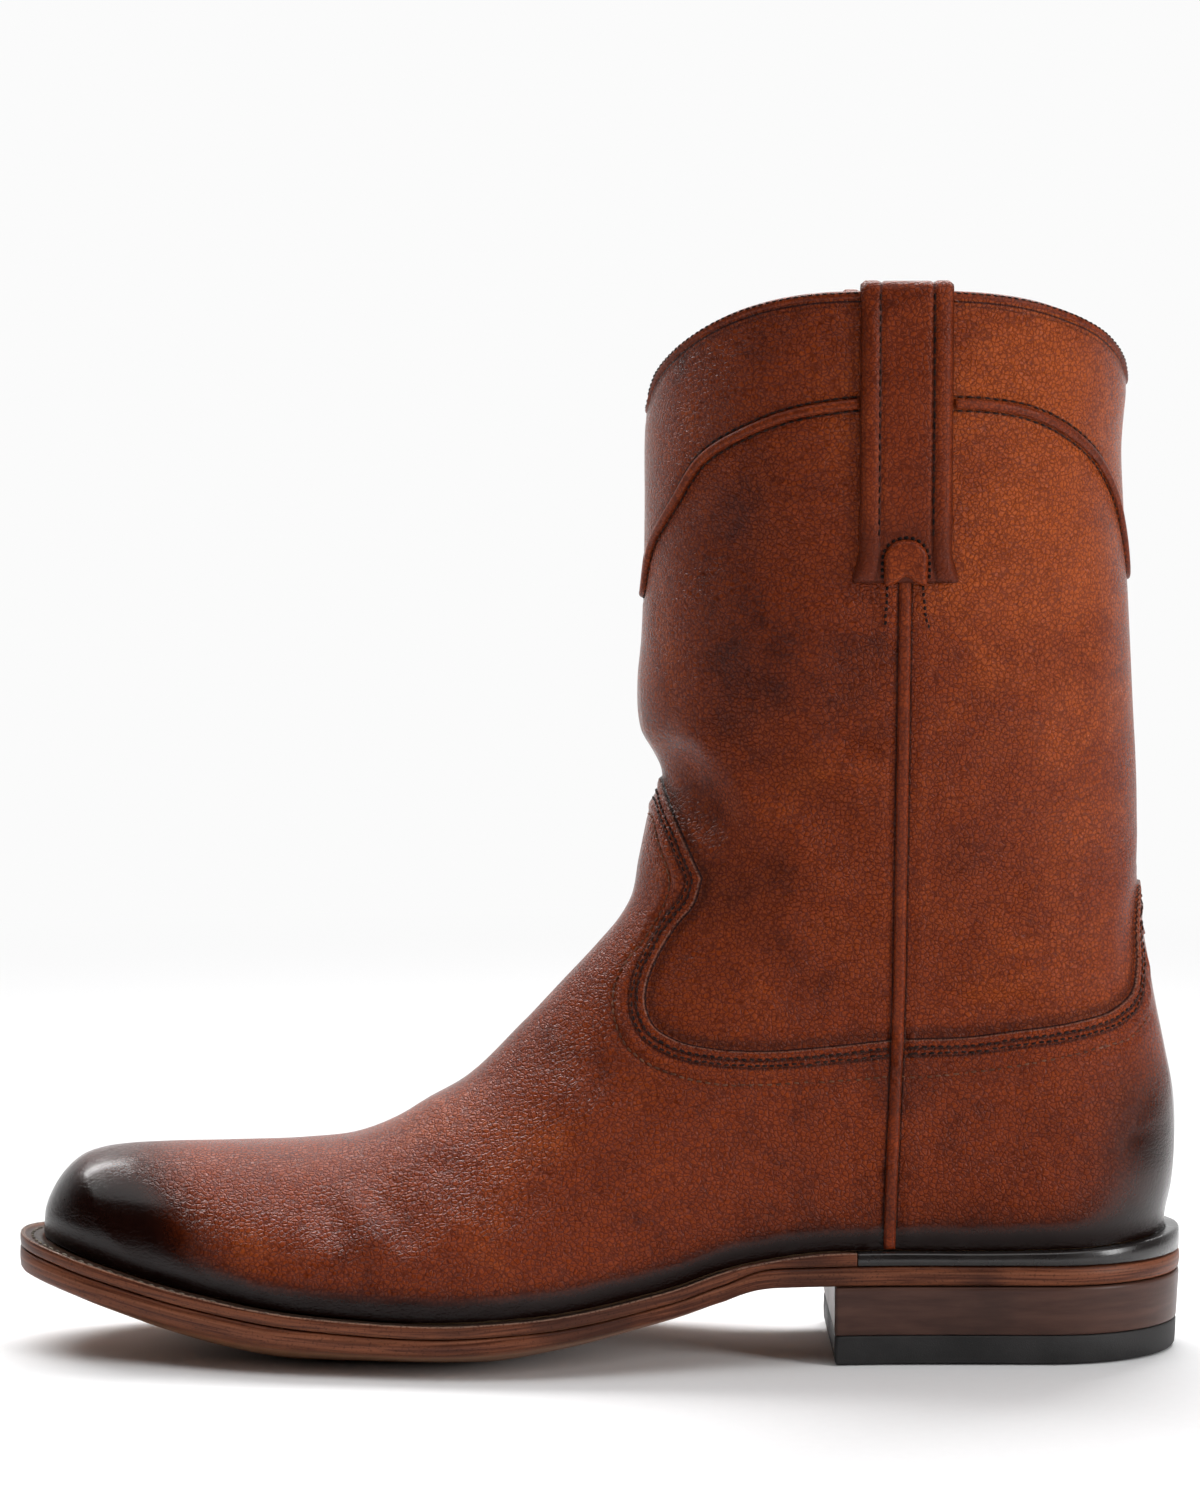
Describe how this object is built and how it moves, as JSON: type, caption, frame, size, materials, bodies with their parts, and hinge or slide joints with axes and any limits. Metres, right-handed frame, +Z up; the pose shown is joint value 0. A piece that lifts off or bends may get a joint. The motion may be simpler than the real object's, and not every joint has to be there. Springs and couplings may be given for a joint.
{
  "type": "roper boot",
  "caption": "Left roper boot with round toe, low stacked heel, scalloped collar, side piping and pull straps.",
  "frame": {"origin": "centre of the heel's tread face, on the floor", "axes": "-X towards the toe, -Y towards the outer side of the foot, +Z up"},
  "size_m": [0.3078, 0.1064, 0.2806],
  "materials": {
    "upper_leather": "cognac brown pull-up leather, waxed, dark burnish at toe and heel",
    "strap_leather": "cognac brown leather, stitched",
    "edge_leather": "dyed and waxed sole edge",
    "stack_leather": "stacked leather, dark brown, smooth",
    "rand_black": "black, glossy",
    "lift_rubber": "black, matte",
    "lining_leather": "plain tan leather"
  },
  "bodies": {
    "root": {"outsole": "edge_leather", "welt": "edge_leather", "heel_rand": "rand_black", "heel_stack": "stack_leather", "top_lift": "lift_rubber", "insole": "lining_leather", "upper": "upper_leather", "side_piping_outer": "upper_leather", "side_piping_inner": "upper_leather", "collar_piping_front": "upper_leather", "collar_piping_back": "upper_leather", "pull_strap_outer": "strap_leather", "pull_strap_inner": "strap_leather"}
  },
  "joints": []
}
